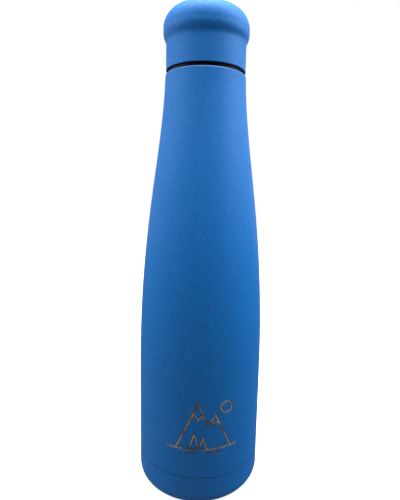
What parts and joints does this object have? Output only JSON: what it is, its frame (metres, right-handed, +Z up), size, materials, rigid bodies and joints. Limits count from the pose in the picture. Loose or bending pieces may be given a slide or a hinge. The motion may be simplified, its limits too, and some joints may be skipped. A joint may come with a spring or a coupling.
{
  "type": "insulated water bottle",
  "caption": "Slim double-wall vacuum-insulated steel water bottle with a mushroom-topped screw cap, powder coated, shallow engraved line motif near the foot.",
  "frame": {"origin": "centre of the foot, on the surface the bottle stands on", "axes": "+Z up along the bottle's axis to the cap, -Y towards the engraved front"},
  "size_m": [0.07, 0.07, 0.26],
  "materials": {
    "powder_coat": "matte",
    "brushed_steel": "satin",
    "black_plastic": "satin",
    "silicone": "matte",
    "foam": "matte",
    "solder_glass": "gloss",
    "getter_alloy": "matte"
  },
  "bodies": {
    "bottle": {"outer_shell": "powder_coat", "outer_base": "powder_coat", "inner_flask": "brushed_steel", "inner_base": "brushed_steel", "getter_cup": "brushed_steel", "getter_pellet": "getter_alloy", "sealing_bead": "solder_glass", "base_disc": "brushed_steel"},
    "seal": {"plug_seal": "silicone"},
    "cap": {"cap_shell": "powder_coat", "stopper": "black_plastic", "foam_core": "foam", "stopper_lid": "black_plastic", "dome_insert": "black_plastic", "flange_gasket": "silicone"}
  },
  "joints": [
    {"name": "cap_lift", "type": "slide", "parent": "bottle", "child": "seal", "axis": [0, 0, 1], "range_m": [0, 0.04]},
    {"name": "cap_turn", "type": "hinge", "parent": "seal", "child": "cap", "pos_m": [0, 0, 0.227], "axis": [0, 0, 1], "range_deg": [0, 1800]}
  ],
  "couplings": [
    {"joint": "cap_lift", "follows": "cap_turn", "m_per_rad": 0.0012732}
  ]
}
